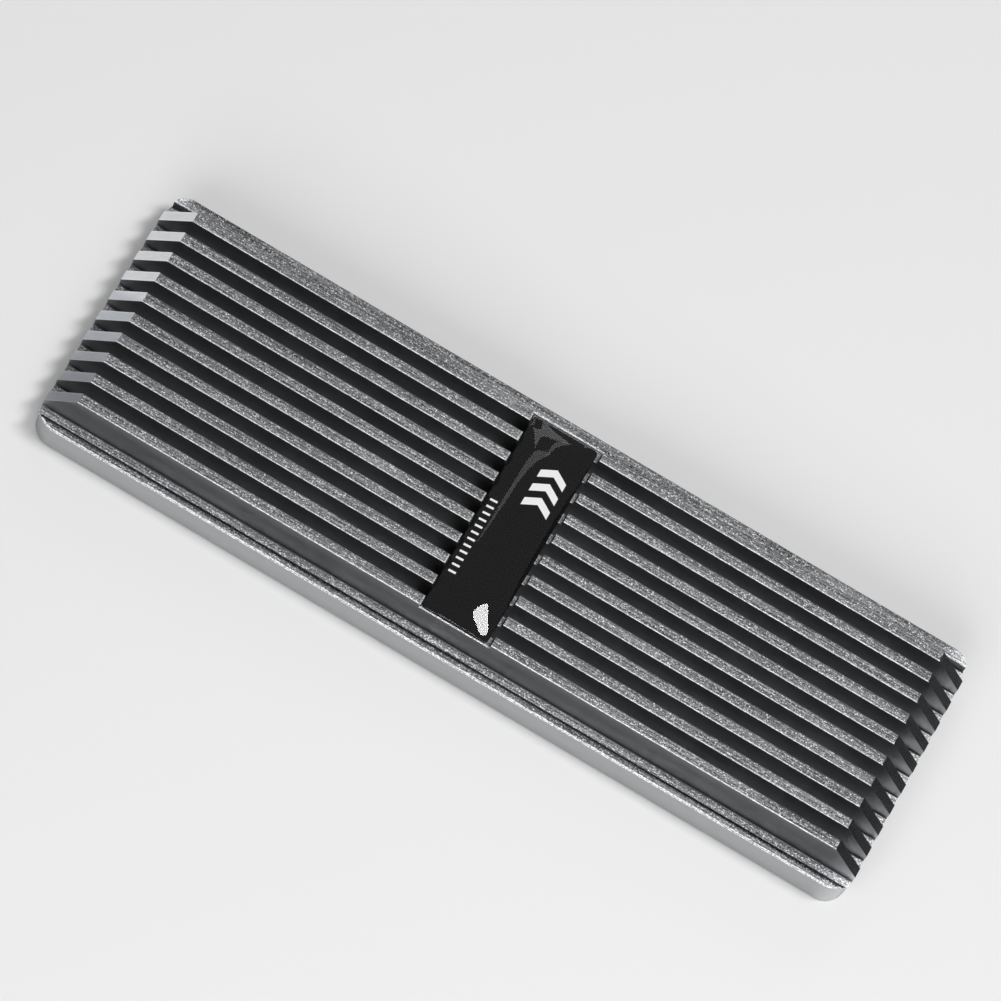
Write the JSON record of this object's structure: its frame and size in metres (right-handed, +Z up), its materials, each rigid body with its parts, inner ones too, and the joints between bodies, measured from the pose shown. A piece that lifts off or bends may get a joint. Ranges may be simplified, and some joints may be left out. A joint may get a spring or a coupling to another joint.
{
  "type": "solid-state drive heat sink",
  "caption": "Flat finned aluminium heat sink with low side ribs, sloped fin ends and a domed label across the middle; spreads the heat of a slim drive card.",
  "frame": {"origin": "middle of the flat underside", "axes": "+X along the fins, +Y across the fins, +Z up from the underside to the fin tops"},
  "size_m": [0.07, 0.022, 0.0065],
  "materials": {
    "anodised_aluminium": "fine blasted and grey anodised, with faint lines along the fins; fin end slopes smoother",
    "label_print": "black printed film with plain white marks",
    "clear_resin": "clear cast resin, mirror gloss"
  },
  "bodies": {
    "root": {"heat_sink_body": "anodised_aluminium", "label_film": "label_print", "label_dome": "clear_resin"}
  },
  "joints": []
}
